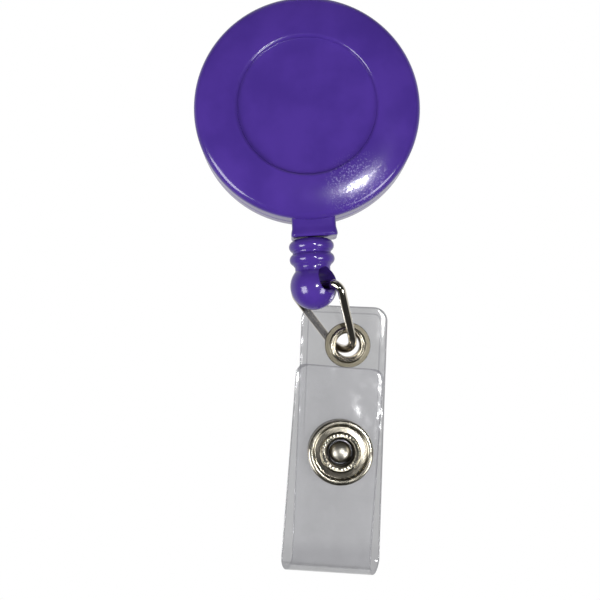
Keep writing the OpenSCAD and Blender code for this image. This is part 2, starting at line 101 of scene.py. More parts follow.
FRONT = Vector((0, -1, 0))
BACK = Vector((0, 1, 0))
UP = Vector((0, 0, 1))
PLAY = 0.02                     # gap between fixed pieces
SHARP = 35                      # edges sharper than this many degrees stay crisp
COVER_SHARP = 28
STRIP_SHARP = 40

front_low, front_high = corners("front_cover")
back_top_y = corners("back_cover")[1].y
clip_low, clip_high = corners("belt_clip")
tongue_end = corners("clip_tongue")[0].z

# case
case_r = front_high.x
seam_y = front_high.y
crown_y = front_low.y
neck_end = front_low.z
back_y = clip_low.y - PLAY
WALL = 1.0
LABEL_R = 9.8
RIM_R = 0.5
CROWN_SLOPE = math.radians(16)  # slope of the ring where it meets the shoulder
SHOULDER_R = 1.2
BACK_R = 0.8
SEAM_V = 0.12                   # chamfer along the seam
LAP = 1.1                       # height and thickness of the rear cover's lip inside the front one
LAP_T = 0.9
NECK_W = 6.2
NECK_Y = (1.2, 6.2)
NECK_R = 0.6
NECK_SINK = 1.1                 # how far the neck reaches in from the case's outer radius
SEAM_ROUND = 0.1
FLARE_H = 1.4                   # height over which the neck widens towards its end
LIP_OUT = 0.18
NECK_ROUND = 0.3                # rounding round the neck's end
MOUTH = (2.6, 1.7)
MOUTH_ROUND = 0.6
MOUTH_Y = 3.6
MOUTH_TOP = -13

# belt clip and axle
CLIP_T = 0.5
CLIP_CORNER = 2.0
clip_w = clip_high.x - clip_low.x
clip_bend_y = pivot("clip_flex").y
clip_bend_r = clip_bend_y - clip_low.y
PINCH = 0.5
PINCH_Z = -9.5
FLARE = 1.2
KNEE_R = 2.0
CLIP_EDGE = 0.14                # rounding of the strip's cut edges
RAIL_W = 0.8
RAIL_L = 14
RAIL_Z = 1
RAIL_SINK = 0.2
RAIL_ROUND = 0.3
AXLE_R = 2.2
SHANK_R = 1.5
TAIL_R = 2.7
TAIL_SIDE = 0.12                # height of the tail's straight side
COLLAR_Y = 5.5
SLOT = (0.5, 5.35)              # width and depth of the slot for the spring's inner end

# strain relief and link
ball = pivot("end_swivel")
ball_r = ball.z - corners("strain_relief")[0].z
hole_axis = axis_of("link_pivot")
BALL_HOLE_R = 1.65
HOLE_UP = 0.9                   # cross hole above the ball's centre
HOLE_FLARE = 0.3
RIB_R = 3.2
RIB_H = 1.75
RIB_GAP = 0.1
GROOVE_R = 2.72
THROAT_R = 2.5
RELIEF_TOP = neck_end - 0.2
CORD_D = 0.8
KNOT_R = 0.9
CORD_PLAY = 0.05
WIRE_D = 1.2
LINK_BASE = 9.6
LINK_H = 10.6
LINK_SWING = math.radians(32.4)
BASE_BEND = 1.2
TIP_BEND = 2.3

# strap, in its own frame: origin at the eyelet's centre, y to the back, z up along the strap
eyelet = pivot("strap_swing")
eyelet_axis = axis_of("strap_swing")
strap_x = axis_of("flap_fold")
strap_z = strap_x.cross(BACK)
TOP_LEAN = math.radians(3)
STRAP_W = 12.4
STRAP_T = 0.6
STRAP_EDGE = 0.12               # rounding of the sheet's cut edges
STRAP_OFF = -0.6
STRAP_UP = 5.6
STRAP_CORNER = 2.0
FLAP_CORNER = 1.4
STRAIGHT = 4.0                  # leaning part below the eyelet, then a bend down to hanging
LEAN_RUN = 6.0
LAYER_GAP = 2.5
FLAP_UP = -3.2
FLAP_OFF = -0.9
FLAP_SKEW = math.radians(2.2)
SNAP_DROP = 15.2
fold_r = (LAYER_GAP + STRAP_T) / 2
lean_r = LEAN_RUN / TOP_LEAN
hang_y = STRAIGHT * math.sin(TOP_LEAN) + lean_r * (1 - math.cos(TOP_LEAN))
hang_z = -STRAIGHT * math.cos(TOP_LEAN) - lean_r * math.sin(TOP_LEAN)
strap_drop = (eyelet - pivot("flap_fold")).dot(strap_z)
fold_z = -strap_drop + fold_r + STRAP_T / 2

# eyelet and snap
EYE_IN = 1.65
EYE_OUT = 1.95
EYE_FLANGE = 3.3
WASHER_T = 0.2
SNAP_R = 4.6
RING_HOLE_R = 2.05
RING_BARREL_R = 2.3
SOCKET_R = 4.3
SOCKET_HOLE_R = 1.75
SPRING_GROOVE_R = 2.5
SPRING_W = (1.25, 1.95)
STUD_R = 1.48
POST_R = 1.2
CAP_POST_R = 0.9
BEADS = 30                      # scallops round the ring's inner lip: their height and reach
BEAD_H = 0.05
BEAD_FROM = 0.3
BEAD_R = 2.85
SOCKET_LIP = 0.3
DOME_H = 2.35                   # widest height of the stud's head above the strap


# --- mesh helpers --------------------------------------------------------------------------------

def rounded(points, steps=6):
    """A closed outline with its corners rounded: each point is (x, y) or (x, y, radius)."""
    outline = []
    for i, point in enumerate(points):
        corner = Vector(point[:2])
        if len(point) == 2:
            outline.append(corner)
            continue
        back = (Vector(points[i - 1][:2]) - corner).normalized()
        onward = (Vector(points[(i + 1) % len(points)][:2]) - corner).normalized()
        half = back.angle(onward) / 2
        centre = corner + (back + onward).normalized() * point[2] / math.sin(half)
        start = corner + back * point[2] / math.tan(half) - centre
        stop = corner + onward * point[2] / math.tan(half) - centre
        turn = math.atan2(start.cross(stop), start.dot(stop))
        heading = math.atan2(start.y, start.x)
        for step in range(steps + 1):
            angle = heading + turn * step / steps
            outline.append(centre + point[2] * Vector((math.cos(angle), math.sin(angle))))
    return outline


def arc(centre, radius, start, stop, steps):
    """Points of an arc in degrees about (x, y)."""
    angles = [math.radians(start + (stop - start) * i / steps) for i in range(steps + 1)]
    return [(centre[0] + radius * math.cos(a), centre[1] + radius * math.sin(a)) for a in angles]


def make_object(name, points, faces, uvs=None, sharp=SHARP):
    """A smooth-shaded object from points in millimetres, with its run across and along as UVs."""
    mesh = bpy.data.meshes.new(name)
    mesh.from_pydata([Vector(p) * MM for p in points], [], faces)
    if uvs is not None:
        layer = mesh.uv_layers.new(name="strip")
        for loop in mesh.loops:
            layer.data[loop.index].uv = uvs[loop.vertex_index]
    weld(mesh)
    obj = bpy.data.objects.new(name, mesh)
    bpy.context.scene.collection.objects.link(obj)
    smooth(obj, sharp)
    return obj


def weld(mesh):
    """Merges doubled points, clears away what has shrunk to nothing and turns normals outward."""
    work = bmesh.new()
    work.from_mesh(mesh)
    bmesh.ops.remove_doubles(work, verts=work.verts, dist=WELD)
    bmesh.ops.dissolve_degenerate(work, edges=work.edges, dist=WELD)
    bmesh.ops.delete(work, geom=[e for e in work.edges if not e.link_faces], context="EDGES")
    bmesh.ops.recalc_face_normals(work, faces=work.faces)
    work.to_mesh(mesh)
    work.free()


def smooth(obj, sharp=SHARP):
    obj.data.shade_smooth()
    obj.data.set_sharp_from_angle(angle=math.radians(sharp))


def rings(name, loops, closed_tube=False, uvs=None, sharp=SHARP):
    """Joins loops of equal length into a skin, capped at both ends unless it closes on itself."""
    count = len(loops[0])
    points = [p for loop in loops for p in loop]
    spans = len(loops) if closed_tube else len(loops) - 1
    faces = []
    for i in range(spans):
        a = i * count
        b = (i + 1) % len(loops) * count
        for j in range(count):
            k = (j + 1) % count
            faces.append((a + j, a + k, b + k, b + j))
    if not closed_tube:
        faces.append(tuple(range(count)))
        faces.append(tuple(range(len(points) - count, len(points))))
    return make_object(name, points, faces, uvs, sharp)


def lathe(name, profile, origin=(0, 0, 0), axis=BACK, turns=192, relief=None, sharp=SHARP):
    """Turns a closed profile of (radius, height) about an axis. relief(r, h, angle) adds height."""
    side = Vector(axis).orthogonal().normalized()
    other = Vector(axis).cross(side)
    loops = []
    for j in range(turns):
        angle = TAU * j / turns
        outward = side * math.cos(angle) + other * math.sin(angle)
        loop = []
        for r, h in profile:
            lift = relief(r, h, angle) if relief else 0
            loop.append(Vector(origin) + outward * r + Vector(axis) * (h + lift))
        loops.append(loop)
    return rings(name, loops, closed_tube=True, sharp=sharp)


def tube(name, path, radius, closed, sides=32):
    """A round wire along a path of points in millimetres."""
    path = [Vector(p) for p in path]
    count = len(path)
    normal = None
    loops = []
    for i, point in enumerate(path):
        before = path[i - 1] if closed or i else point
        after = path[(i + 1) % count] if closed or i < count - 1 else point
        along = (after - before).normalized()
        normal = along.orthogonal() if normal is None else normal - along * normal.dot(along)
        normal.normalize()
        other = along.cross(normal)
        loops.append([
            point + radius * (normal * math.cos(TAU * j / sides) + other * math.sin(TAU * j / sides))
            for j in range(sides)
        ])
    return rings(name, loops, closed_tube=closed)


def prism(name, outline, low, high, place):
    """A slab between two heights with an outline of (a, b). place(a, b, height) gives a point."""
    loops = [[place(a, b, h) for a, b in outline] for h in (low, high)]
    return rings(name, loops)


def carve(obj, tool, operation="DIFFERENCE", sharp=SHARP):
    """Cuts, joins or intersects obj with tool, which is used up."""
    modifier = obj.modifiers.new("carve", "BOOLEAN")
    modifier.operation = operation
    modifier.object = tool
    modifier.solver = "EXACT"
    graph = bpy.context.evaluated_depsgraph_get()
    mesh = bpy.data.meshes.new_from_object(obj.evaluated_get(graph))
    obj.modifiers.clear()
    obj.data = mesh
    bpy.data.objects.remove(tool)
    weld(mesh)
    smooth(obj, sharp)


def rod(radius, origin, axis, start, stop, turns=96):
    """A plain cylinder, for cutting."""
    profile = [(0, start), (radius, start), (radius, stop), (0, stop)]
    return lathe("tool", profile, origin, axis, turns)


def finish_piece(obj, body, slot, material, *nodes):
    """Gives the piece its material, hangs it under its body's empty when there is a body, and hides
    the CAD nodes that it stands for. Its finish, slot, is not used.
    """
    obj.data.materials.clear()
    obj.data.materials.append(material)
    if body:
        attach(obj, body)
    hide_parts(*nodes)


# --- material helpers ----------------------------------------------------------------------------

class Shader:
    """Short names for building a node material."""

    def __init__(self, name):
        self.material = bpy.data.materials.new(name)
        self.material.use_nodes = True
        self.tree = self.material.node_tree
        self.tree.nodes.clear()
        self.output = self.tree.nodes.new("ShaderNodeOutputMaterial")
        self.place = self.tree.nodes.new("ShaderNodeTexCoord").outputs["Object"]

    def node(self, kind, settings=None, **inputs):
        made = self.tree.nodes.new("ShaderNode" + kind)
        for key, value in (settings or {}).items():
            setattr(made, key, value)
        for key, value in inputs.items():
            self.feed(made.inputs[key.replace("_", " ")], value)
        return made

    def feed(self, socket, value):
        if isinstance(value, bpy.types.NodeSocket):
            self.tree.links.new(value, socket)
        elif hasattr(value, "__len__") and len(value) == 3 and socket.type == "RGBA":
            socket.default_value = (*value, 1)
        else:
            socket.default_value = value

    def math(self, operation, a, b=0.0, c=0.0):
        made = self.tree.nodes.new("ShaderNodeMath")
        made.operation = operation
        for socket, value in zip(made.inputs, (a, b, c)):
            self.feed(socket, value)
        return made.outputs[0]

    def span(self, value, low, high, to_low=0.0, to_high=1.0):
        """Eases value from one range into another."""
        made = self.node("MapRange", {"interpolation_type": "SMOOTHSTEP"})
        for key, item in zip(
            ("Value", "From Min", "From Max", "To Min", "To Max"),
            (value, low, high, to_low, to_high),
        ):
            self.feed(made.inputs[key], item)
        return made.outputs[0]

    def stretch(self, x, y, z):
        """Object coordinates in millimetres, scaled along each axis."""
        made = self.node("Mapping", Vector=self.place)
        made.inputs["Scale"].default_value = (x / MM, y / MM, z / MM)
        return made.outputs[0]

    def noise(self, per_mm, detail=2.0, rough=0.5, place=None):
        made = self.node("TexNoise", Vector=place or self.stretch(1, 1, 1))
        made.inputs["Scale"].default_value = per_mm
        made.inputs["Detail"].default_value = detail
        made.inputs["Roughness"].default_value = rough
        return made.outputs["Fac"]

    def blend(self, factor, a, b):
        made = self.node("Mix", {"data_type": "RGBA"})
        self.feed(made.inputs[0], factor)
        self.feed(made.inputs[6], a)
        self.feed(made.inputs[7], b)
        return made.outputs[2]

    def bump(self, height, depth_mm, normal=None):
        made = self.node("Bump", Height=height)
        made.inputs["Strength"].default_value = 1.0
        made.inputs["Distance"].default_value = depth_mm * MM
        if normal is not None:
            self.feed(made.inputs["Normal"], normal)
        return made.outputs[0]

    def principled(self, **inputs):
        return self.node("BsdfPrincipled", None, **inputs).outputs[0]

    def show(self, surface):
        self.tree.links.new(surface, self.output.inputs["Surface"])
        return self.material


PURPLE = (0.060, 0.027, 0.238)
PURPLE_DEEP = (0.049, 0.022, 0.206)
# pale flecks of the scuffed patch, and where it sits, on the key light's highlight: partly wear,
# partly a painted speckled highlight
SCUFF_AND_SHEEN = (0.55, 0.5, 0.8)
SCUFF_AND_SHEEN_AT = (6.6, crown_y, -12.0)


def purple_plastic(scuffed):
    """Glossy moulded ABS: faint orange peel, cloudy depth and, on the face, a scuffed patch round
    the key light's highlight: its roughness and bump are wear, its pale flecks partly wear and
    partly a painted speckled highlight.
    """
    s = Shader("purple_face" if scuffed else "purple")
    cloud = s.noise(0.16, 3)
    peel = s.noise(1.3, 2)
    grain = s.noise(9.0, 3, 0.6)
    colour = s.blend(s.span(cloud, 0.35, 0.65), PURPLE_DEEP, PURPLE)
    rough = s.span(grain, 0.3, 0.8, 0.13, 0.20)
    normal = s.bump(peel, 0.008)
    if scuffed:
        spot = s.node("VectorMath", {"operation": "DISTANCE"})
        s.feed(spot.inputs[0], s.stretch(1, 1, 1))
        spot.inputs[1].default_value = SCUFF_AND_SHEEN_AT
        near = s.span(spot.outputs["Value"], 6.0, 1.0)
        flecks = s.span(s.noise(4.5, 4, 0.7), 0.54, 0.62)
        # mask of the patch: it roughens and bumps the surface as wear, and its pale flecks are
        # partly wear and partly a painted highlight
        worn_and_sheen = s.math("MULTIPLY", near, flecks)
        rough = s.math("ADD", rough, s.math("MULTIPLY", worn_and_sheen, 0.30))
        colour = s.blend(s.math("MULTIPLY", worn_and_sheen, 0.30), colour, SCUFF_AND_SHEEN)
        normal = s.bump(s.math("MULTIPLY", s.noise(7.0, 3, 0.7), worn_and_sheen), 0.012, normal)
    return s.show(s.principled(Base_Color=colour, Roughness=rough, Normal=normal, IOR=1.5))


def plated(name, tint, crevice_shade, rough_low, rough_high, dull=None):
    """Warm bright nickel with fine scratches, and painted shade: the colour darkens in crevices by
    ambient occlusion.

    dull = (centre, radius, tint, roughness) gives a tarnished flange beyond a radius.
    """
    s = Shader(name)
    scratch = s.noise(14.0, 3, 0.6, s.stretch(1, 1, 0.12))
    haze = s.noise(0.7, 3)
    # painted shade: ambient occlusion darkens the colour in crevices and hollows, where shade falls
    hollow = s.node("AmbientOcclusion", {"samples": 4, "inside": False})
    hollow.inputs["Distance"].default_value = 1.2 * MM
    open_sky = s.span(hollow.outputs["AO"], 0.25, 0.9)
    colour = s.blend(open_sky, crevice_shade, tint)
    rough = s.span(haze, 0.3, 0.7, rough_low, rough_high)
    normal = s.bump(scratch, 0.003)
    if dull:
        centre, radius, dull_tint, dull_rough = dull
        away = s.node("VectorMath", {"operation": "DISTANCE"})
        s.feed(away.inputs[0], s.stretch(1, 1, 1))
        away.inputs[1].default_value = centre
        share = s.span(away.outputs["Value"], radius - 0.08, radius + 0.08)
        colour = s.blend(share, colour, dull_tint)
        rough = s.math("MULTIPLY_ADD", share, s.math("SUBTRACT", dull_rough, rough), rough)
    return s.show(s.principled(Base_Color=colour, Metallic=1.0, Roughness=rough, Normal=normal))


def steel_strip():
    """Rolled spring steel, brushed along the clip, with faint stains."""
    s = Shader("clip_steel")
    grain = s.noise(3.0, 4, 0.7, s.stretch(4, 4, 0.15))
    stain = s.noise(0.25, 3)
    colour = s.blend(s.span(stain, 0.4, 0.7), (0.62, 0.62, 0.63), (0.50, 0.50, 0.51))
    rough = s.span(grain, 0.3, 0.7, 0.22, 0.38)
    return s.show(
        s.principled(Base_Color=colour, Metallic=1.0, Roughness=rough, Normal=s.bump(grain, 0.004))
    )


VINYL_TINT = (0.956, 0.957, 0.963)
# grey of the sheet's haze, and the tint of the painted shade at its cut edges and round the fold,
# and of the inset line
VINYL_GREY_AND_SHADE = (0.62, 0.62, 0.64)
INSET = 1.0                     # a line runs this far inside the edge of the hanging layer
INSET_FADE = (12, 22)           # and fades over this stretch, measured from the top
BEND_SHADE = (5.5, 3.0)          # painted shade: the bend darkens between these distances from the fold


def clear_vinyl(length, corner, fold):
    """Soft clear PVC, with painted shade: darker at its cut edges and round the fold, where light
    bends through the sheet; darker too on an inset line.
    """
    s = Shader("vinyl")
    strip = s.node("UVMap", {"uv_map": "strip"})
    at = s.node("SeparateXYZ", Vector=strip.outputs[0])
    side = s.math("SUBTRACT", s.math("ABSOLUTE", at.outputs["X"]), STRAP_W / 2 - corner)
    from_middle = s.math("ABSOLUTE", s.math("SUBTRACT", at.outputs["Y"], length / 2))
    end = s.math("SUBTRACT", from_middle, length / 2 - corner)
    side = s.math("MAXIMUM", side, 0.0)
    end = s.math("MAXIMUM", end, 0.0)
    reach = s.math("SQRT", s.math("MULTIPLY_ADD", side, side, s.math("MULTIPLY", end, end)))
    inward = s.math("SUBTRACT", corner, reach)
    # painted shade along the cut edges, for the darker lines that light reflected inside a clear
    # edge makes
    edge = s.span(inward, 0.30, 0.05)
    line = s.span(s.math("ABSOLUTE", s.math("SUBTRACT", inward, INSET)), 0.16, 0.03, 0.0, 0.38)
    line = s.math("MULTIPLY", line, s.span(at.outputs["Y"], *INSET_FADE, 1.0, 0.0))
    ripple = s.bump(s.noise(0.17, 2), 0.30)
    normal = s.bump(s.noise(2.2, 2), 0.004, ripple)
    from_fold = s.math("ABSOLUTE", s.math("SUBTRACT", at.outputs["Y"], fold))
    # painted shade round the fold
    bend_shade = s.span(from_fold, *BEND_SHADE, 0.0, 0.14)
    shade = s.math("MAXIMUM", s.math("MAXIMUM", s.math("MULTIPLY", edge, 0.6), line), bend_shade)
    tint = s.blend(shade, VINYL_TINT, VINYL_GREY_AND_SHADE)
    clear = s.node("BsdfTransparent", Color=tint)
    haze = s.node("BsdfDiffuse", Color=VINYL_GREY_AND_SHADE, Normal=normal)
    gloss = s.node("BsdfGlossy", Color=(1, 1, 1), Roughness=0.10, Normal=normal)
    milk = s.span(s.noise(0.35, 2), 0.3, 0.7, 0.05, 0.09)
    body = s.node("MixShader")
    s.feed(body.inputs[0], milk)
    s.feed(body.inputs[1], clear.outputs[0])
    s.feed(body.inputs[2], haze.outputs[0])
    facing = s.node("Fresnel", IOR=1.45, Normal=normal)
    sheen = s.math("MINIMUM", facing.outputs[0], s.span(edge, 0, 1, 0.30, 0.04))
    skin = s.node("MixShader")
    s.feed(skin.inputs[0], sheen)
    s.feed(skin.inputs[1], body.outputs[0])
    s.feed(skin.inputs[2], gloss.outputs[0])
    return s.show(skin.outputs[0])


def braided_cord():
    """Black nylon braid: two crossing sets of strands in bump and sheen."""
    s = Shader("cord")
    weave = None
    for lean in (1, -1):
        band = s.node("TexWave", {"bands_direction": "DIAGONAL"}, Vector=s.stretch(lean, 1, 1.4))
        band.inputs["Scale"].default_value = 1.6
        band.inputs["Distortion"].default_value = 0.4
        strands = band.outputs["Fac"]
        weave = strands if weave is None else s.math("MAXIMUM", weave, strands)
    colour = s.blend(weave, (0.006, 0.006, 0.007), (0.035, 0.035, 0.040))
    return s.show(
        s.principled(Base_Color=colour, Roughness=0.55, Normal=s.bump(weave, 0.05), Sheen_Weight=0.3)
    )


def spool_plastic():
    """Off-white moulded plastic."""
    s = Shader("spool")
    mottle = s.noise(0.5, 3)
    colour = s.blend(mottle, (0.72, 0.71, 0.68), (0.80, 0.79, 0.76))
    return s.show(s.principled(Base_Color=colour, Roughness=0.45, Normal=s.bump(s.noise(6.0), 0.01)))


def blued_steel():
    """Dark spring steel with a fine grain."""
    s = Shader("spring_steel")
    grain = s.noise(5.0, 3, 0.6, s.stretch(1, 0.1, 1))
    colour = s.blend(grain, (0.20, 0.21, 0.24), (0.34, 0.34, 0.36))
    return s.show(
        s.principled(Base_Color=colour, Metallic=1.0, Roughness=0.3, Normal=s.bump(grain, 0.004))
    )


face_finish = purple_plastic(True)
purple = purple_plastic(False)
nickel = plated("nickel", (0.80, 0.75, 0.65), (0.20, 0.165, 0.12), 0.05, 0.12)
eyelet_nickel = plated("eyelet_nickel", (0.42, 0.39, 0.32), (0.18, 0.15, 0.11), 0.18, 0.26,
                       (eyelet, 2.7, (0.165, 0.150, 0.112), 0.48))
stud_nickel = plated("stud_nickel", (0.45, 0.43, 0.38), (0.34, 0.31, 0.26), 0.36, 0.44)
snap_nickel = plated("snap_nickel", (0.40, 0.375, 0.31), (0.17, 0.14, 0.10), 0.18, 0.26)
clip_steel = steel_strip()
cord = braided_cord()
spool_finish = spool_plastic()
spring_steel = blued_steel()


# --- case ----------------------------------------------------------------------------------------

def neck_half(name, y_outer, y_seam, outer_sign):
    """One cover's half of the neck, with its lip, from inside the case's wall down to its end."""
    inner_z = NECK_SINK - case_r
    flare_z = neck_end + FLARE_H
    round_z = neck_end + NECK_ROUND
    stations = [(inner_z, 0)]
    for k in range(9):
        share = k / 8
        out = LIP_OUT * share * share * (3 - 2 * share)
        stations.append((flare_z + (round_z - flare_z) * share, out))
    for k in range(1, 7):
        angle = math.pi / 2 * k / 6
        out = LIP_OUT - NECK_ROUND * (1 - math.cos(angle))
        stations.append((round_z - NECK_ROUND * math.sin(angle), out))
    loops = []
    for z, out in stations:
        half = NECK_W / 2 + out
        y = y_outer + outer_sign * out
        outline = rounded([
            (-half, y, NECK_R + out), (half, y, NECK_R + out),
            (half, y_seam, SEAM_ROUND), (-half, y_seam, SEAM_ROUND),
        ])
        loops.append([Vector((x, depth, z)) for x, depth in outline])
    return rings(name, loops)


def slab_outline(width, depth, corner):
    """A rectangle round (0, 0) with rounded corners."""
    a, b = width / 2, depth / 2
    return rounded([(-a, -b, corner), (a, -b, corner), (a, b, corner), (-a, b, corner)])


def mouth_tool():
    """Cuts the cord's way out through the neck."""
    return prism("tool", slab_outline(*MOUTH, MOUTH_ROUND), neck_end - 1, MOUTH_TOP,
                 lambda x, y, z: Vector((x, MOUTH_Y + y, z)))


def build_front():
    """A sunken recess, a domed ring with a tight inner rim, a shoulder and a straight side."""
    rim_centre = LABEL_R + RIM_R
    ring_outer = case_r - SHOULDER_R * (1 - math.sin(CROWN_SLOPE))
    crown_r = (ring_outer - rim_centre) / math.sin(CROWN_SLOPE)
    slope = math.degrees(CROWN_SLOPE)
    ring_drop = crown_r * (1 - math.cos(CROWN_SLOPE))
    shoulder_y = crown_y + ring_drop + SHOULDER_R * math.cos(CROWN_SLOPE)
    inner = case_r - WALL
    profile = [(0, 0), (4, 0), (8, 0), (LABEL_R - 0.15, 0), (LABEL_R - 0.04, -0.03)]
    profile += arc((rim_centre, crown_y + RIM_R), RIM_R, 190, 270, 10)
    profile += arc((rim_centre, crown_y + crown_r), crown_r, -89, -90 + slope, 20)
    profile += arc((case_r - SHOULDER_R, shoulder_y), SHOULDER_R, -84 + slope, 0, 12)
    profile += [(case_r, (shoulder_y + seam_y) / 2), (case_r, seam_y - SEAM_V)]
    profile += [(case_r - SEAM_V, seam_y), (inner, seam_y), (inner, WALL), (0, WALL)]
    cover = lathe("case_front", profile, turns=256, sharp=COVER_SHARP)
    carve(cover, neck_half("tool", NECK_Y[0], seam_y, -1), "UNION", COVER_SHARP)
    carve(cover, mouth_tool(), sharp=COVER_SHARP)
    finish_piece(cover, "case", "case", face_finish, "front_cover")


def build_back():
    """A flat rear with a lip inside the front cover, half the neck and two rails for the clip."""
    spigot = case_r - WALL - PLAY
    seam = seam_y + PLAY
    floor_y = back_y - WALL
    profile = [(0, floor_y), (spigot - LAP_T, floor_y), (spigot - LAP_T, seam_y - LAP)]
    profile += [(spigot, seam_y - LAP), (spigot, seam)]
    profile += [(case_r - SEAM_V, seam), (case_r, seam + SEAM_V)]
    profile += arc((case_r - BACK_R, back_y - BACK_R), BACK_R, 0, 90, 10)
    profile += [(8, back_y), (0, back_y)]
    cover = lathe("case_back", profile, turns=256, sharp=COVER_SHARP)
    carve(cover, neck_half("tool", NECK_Y[1], seam, 1), "UNION", COVER_SHARP)
    for side in (-1, 1):
        middle = side * (clip_w / 2 + PLAY + RAIL_W / 2)
        outline = slab_outline(RAIL_W, RAIL_L, RAIL_ROUND)
        rail = prism("tool", outline, back_y - RAIL_SINK, back_top_y,
                     lambda x, z, y, m=middle: Vector((m + x, y, RAIL_Z + z)))
        carve(cover, rail, "UNION", COVER_SHARP)
    carve(cover, rod(SHANK_R + PLAY, (0, 0, 0), BACK, 0, 20), sharp=COVER_SHARP)
    carve(cover, mouth_tool(), sharp=COVER_SHARP)
    finish_piece(cover, "case", "case", purple, "back_cover")


# --- strips: the belt clip and the strap ---------------------------------------------------------

def end_half_width(width, radius, distance):
    """Half width of a strip at a distance from its rounded end."""
    if distance >= radius:
        return width / 2
    return width / 2 - radius + math.sqrt(radius ** 2 - (radius - distance) ** 2)


def strip_section(half_w, half_t, edge, columns):
    """A flat ring of (across, through) with rounded edges."""
    flat = half_w - edge
    upper = [(-flat + 2 * flat * i / columns, half_t) for i in range(columns + 1)]
    right = arc((flat, half_t - edge), edge, 90, 0, 3)[1:]
    lower_right = arc((flat, edge - half_t), edge, 0, -90, 3)
    lower = [(flat - 2 * flat * i / columns, -half_t) for i in range(1, columns + 1)]
    left = arc((-flat, edge - half_t), edge, -90, -180, 3)[1:]
    upper_left = arc((-flat, half_t - edge), edge, 180, 90, 3)[:-1]
    return upper + right + lower_right + lower + left + upper_left


def ends_and_middle(length, end_r, far_r, pitch):
    """Stations along a strip, close together at its rounded ends."""
    steps = 10
    near = [end_r * (1 - math.cos(math.pi / 2 * i / steps)) for i in range(steps + 1)]
    far = [length - far_r * (1 - math.cos(math.pi / 2 * i / steps)) for i in range(steps, -1, -1)]
    count = max(2, round((far[0] - near[-1]) / pitch))
    middle = [near[-1] + (far[0] - near[-1]) * i / count for i in range(1, count)]
    return near + middle + far


def strip(name, path, place, width, thickness, end_radii, edge, columns):
    """A strip of sheet that follows path, a list of (run, y, z), with place(u, y, z, run)."""
    runs = np.array([p[0] for p in path])
    ys = np.array([p[1] for p in path])
    zs = np.array([p[2] for p in path])
    length = runs[-1]
    loops, uvs = [], []
    step = 0.01
    for run in ends_and_middle(length, end_radii[0], end_radii[1], 0.4):
        before, after = max(run - step, 0), min(run + step, length)
        along = Vector((
            np.interp(after, runs, ys) - np.interp(before, runs, ys),
            np.interp(after, runs, zs) - np.interp(before, runs, zs),
        )).normalized()
        outward = Vector((-along.y, along.x))
        middle = Vector((np.interp(run, runs, ys), np.interp(run, runs, zs)))
        near_end = min(run, length - run)
        radius = end_radii[0] if run < length / 2 else end_radii[1]
        half_w = end_half_width(width, radius, near_end)
        half_t = end_half_width(thickness, edge, near_end)
        loop = []
        for u, t in strip_section(half_w, half_t, min(edge, half_t * 0.95), columns):
            point = middle + outward * t
            loop.append(place(u, point.x, point.y, run))
            uvs.append((u, run))
        loops.append(loop)
    return rings(name, loops, uvs=uvs, sharp=STRIP_SHARP)


def with_runs(points):
    """Adds to each (y, z) its distance along the path."""
    run, path = 0.0, []
    for i, point in enumerate(points):
        if i:
            run += math.dist(points[i - 1], point)
        path.append((run, *point))
    return path


def build_clip():
    """One strip: flat on the case, over the top, then down to a pinch and a flared end."""
    mid_r = clip_bend_r - CLIP_T / 2
    inner_y = clip_bend_y - mid_r
    outer_y = clip_bend_y + mid_r + PLAY
    bend_z = clip_high.z - clip_bend_r
    points = [(inner_y, clip_low.z), (inner_y, bend_z)]
    points += arc((clip_bend_y, bend_z), mid_r, 175, 5, 24)
    points += [(outer_y, bend_z)]
    points += [(outer_y - PINCH * k / 8, bend_z + (PINCH_Z - bend_z) * k / 8) for k in range(1, 8)]
    knee = [(outer_y - PINCH, PINCH_Z), (outer_y - PINCH + FLARE, tongue_end)]
    bend = rounded([(outer_y, bend_z), (*knee[0], KNEE_R), knee[1], (outer_y + 20, 0)], 8)
    points += [tuple(p) for p in bend[1:10]] + [knee[1]]
    clip = strip("clip_strip", with_runs(points), lambda u, y, z, run: Vector((u, y, z)),
                 clip_w, CLIP_T, (CLIP_CORNER, CLIP_CORNER), CLIP_EDGE, 8)
    shank_hole = rod(SHANK_R + PLAY, (0, 0, 0), BACK, clip_low.y - 1, clip_low.y + 1)
    carve(clip, shank_hole, sharp=STRIP_SHARP)
    finish_piece(clip, None, "clip_steel", clip_steel, "belt_clip", "clip_tongue")
    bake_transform(clip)


def build_axle():
    """A pin with a collar inside the case, a shank through the clip and a domed tail."""
    tail_y = clip_low.y + CLIP_T + PLAY
    low, high = corners("axle_rivet")
    dome_y = tail_y + TAIL_SIDE
    floor_y = back_y - WALL
    profile = [(0, low.y), (AXLE_R - 0.2, low.y), (AXLE_R, low.y + 0.2)]
    profile += [(AXLE_R, COLLAR_Y), (high.x, COLLAR_Y)]
    profile += [(high.x, floor_y - PLAY), (SHANK_R, floor_y - PLAY), (SHANK_R, tail_y)]
    profile += [(TAIL_R - 0.08, tail_y)]
    profile += [
        (TAIL_R * math.cos(a), dome_y + (high.y - dome_y) * math.sin(a))
        for a in [math.pi / 2 * i / 14 for i in range(15)]
    ]
    pin = lathe("axle_pin", profile, turns=128)
    half, depth = SLOT[0] / 2, SLOT[1]
    slot = prism("tool", [(-4, -half), (4, -half), (4, half), (-4, half)], 0, depth,
                 lambda x, z, y: Vector((x, y, z)))
    carve(pin, slot)
    finish_piece(pin, "case", "clip_steel", clip_steel, "axle_rivet")


def strap_place(x, y, z):
    """From the strap's own frame to the reel's."""
    return eyelet + strap_x * x + BACK * y + strap_z * z


